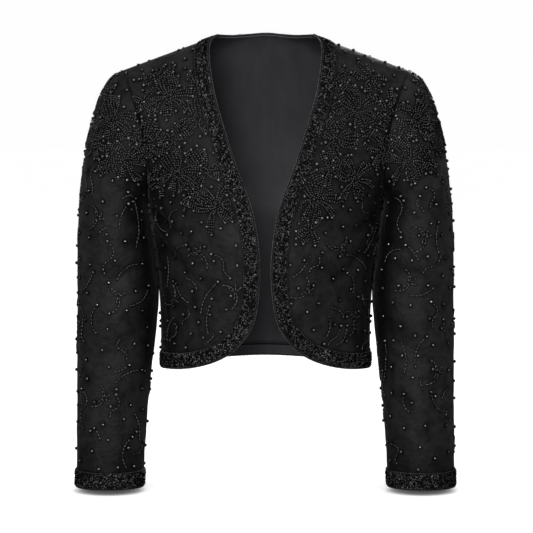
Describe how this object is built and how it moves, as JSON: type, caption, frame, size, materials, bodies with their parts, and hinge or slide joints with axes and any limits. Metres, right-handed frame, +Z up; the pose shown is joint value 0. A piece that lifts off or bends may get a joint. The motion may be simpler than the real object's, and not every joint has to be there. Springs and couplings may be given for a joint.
{
  "type": "beaded bolero jacket",
  "caption": "Cropped black evening jacket with an open collarless front, long sleeves and packed beading along its edges and cuffs, filled out as when worn.",
  "frame": {"origin": "between the wearer's shoulders, level with the points where the shoulder seams meet the neck", "axes": "+Z up along the worn jacket, +X towards the wearer's left, -Y the open front"},
  "size_m": [0.5444, 0.2115, 0.6504],
  "materials": {
    "black_cloth": "matt crepe with glass beads",
    "black_beading": "packed glossy glass beads",
    "grey_lining": "satin"
  },
  "bodies": {
    "root": {"front_left": "black_cloth", "front_right": "black_cloth", "back": "black_cloth", "sleeve_left": "black_cloth", "sleeve_right": "black_cloth", "front_border_left": "black_beading", "front_border_right": "black_beading", "back_neck_border": "black_beading", "back_hem_border": "black_beading", "cuff_border_left": "black_beading", "cuff_border_right": "black_beading", "back_lining": "grey_lining", "back_hem_turn_up": "grey_lining"}
  },
  "joints": []
}
